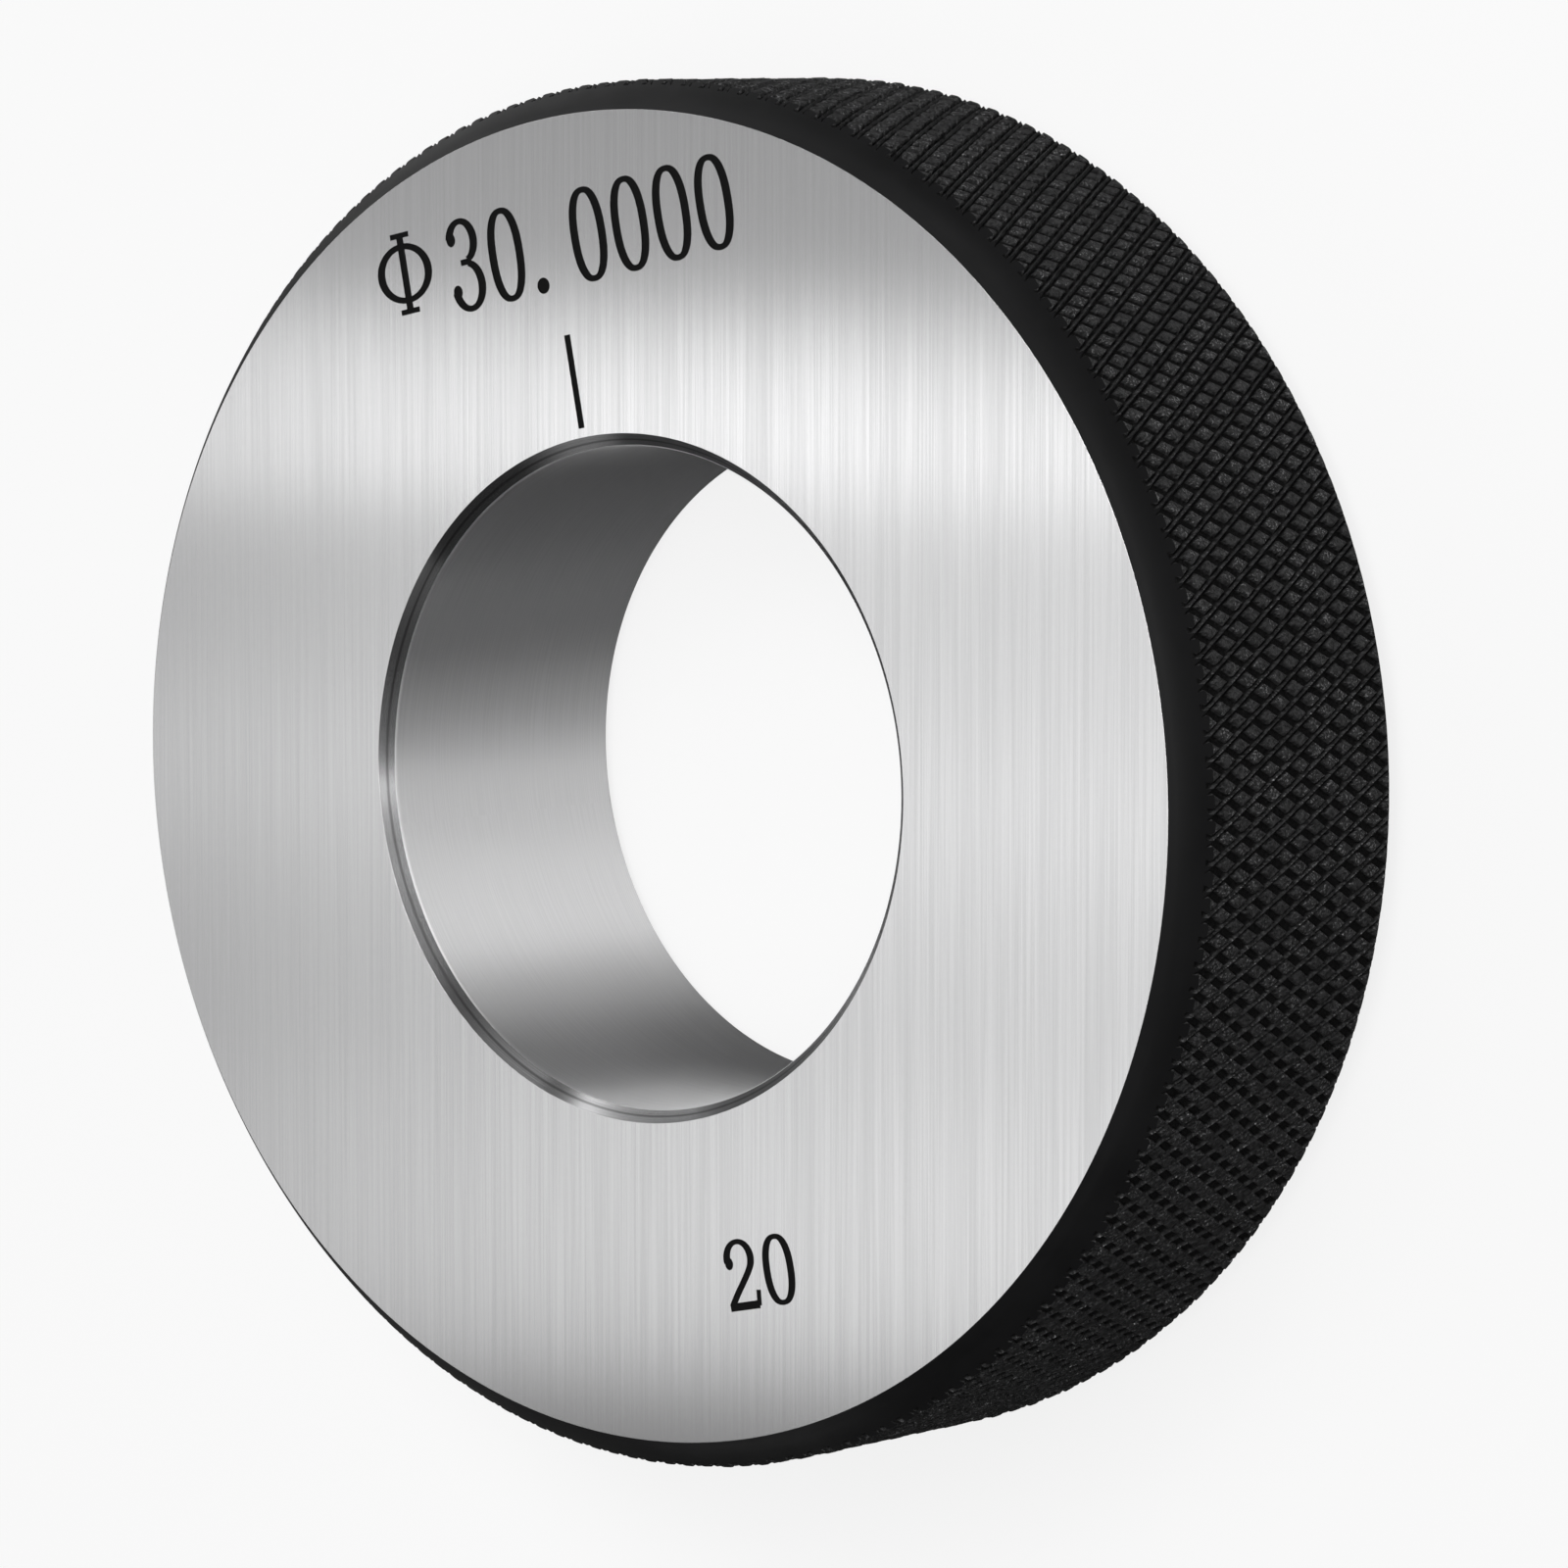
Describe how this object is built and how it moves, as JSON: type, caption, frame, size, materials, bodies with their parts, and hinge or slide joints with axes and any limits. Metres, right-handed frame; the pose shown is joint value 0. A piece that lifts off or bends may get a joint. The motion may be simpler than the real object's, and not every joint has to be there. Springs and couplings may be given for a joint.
{
  "type": "setting ring gauge",
  "caption": "Plain cylindrical setting ring gauge: a ground steel ring with a lapped through bore, lead-ins at its mouths, bevelled edges and a diamond-knurled rim.",
  "frame": {"origin": "centre of the back face, on the axis of the bore", "axes": "+Z along the axis of the bore, up out of the marked front face; +Y from the axis towards the size number on the front face"},
  "size_m": [0.063, 0.063, 0.016],
  "materials": {
    "gauge_steel": "hardened gauge steel: faces ground and brushed, bore lapped, bevels and knurled rim black oxide"
  },
  "bodies": {
    "root": {"gauge_ring": "gauge_steel"}
  },
  "joints": []
}
